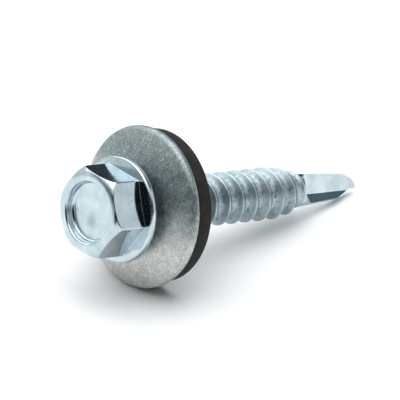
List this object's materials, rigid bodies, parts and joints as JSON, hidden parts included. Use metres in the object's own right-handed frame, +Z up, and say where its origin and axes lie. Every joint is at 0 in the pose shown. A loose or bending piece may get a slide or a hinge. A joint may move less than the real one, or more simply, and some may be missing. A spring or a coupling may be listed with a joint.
{
  "type": "self-drilling cladding screw",
  "caption": "Zinc-plated hex flange screw with recessed head, coarse thread and fluted drill point, with a captive domed washer and bonded rubber seal",
  "frame": {"origin": "On the surface that the screw lies on, under the middle of its bounding box", "axes": "+Z up; the screw lies in the XZ plane with its drill point towards +X and tilted down, its washer's rim and its drill point on the surface"},
  "size_m": [0.0354, 0.016, 0.0156],
  "materials": {
    "zinc_plated_steel": "bright",
    "galvanised_sheet": "satin",
    "rubber": "matt"
  },
  "bodies": {
    "root": {"screw": "zinc_plated_steel", "metal_washer": "galvanised_sheet", "rubber_seal": "rubber"}
  },
  "joints": []
}
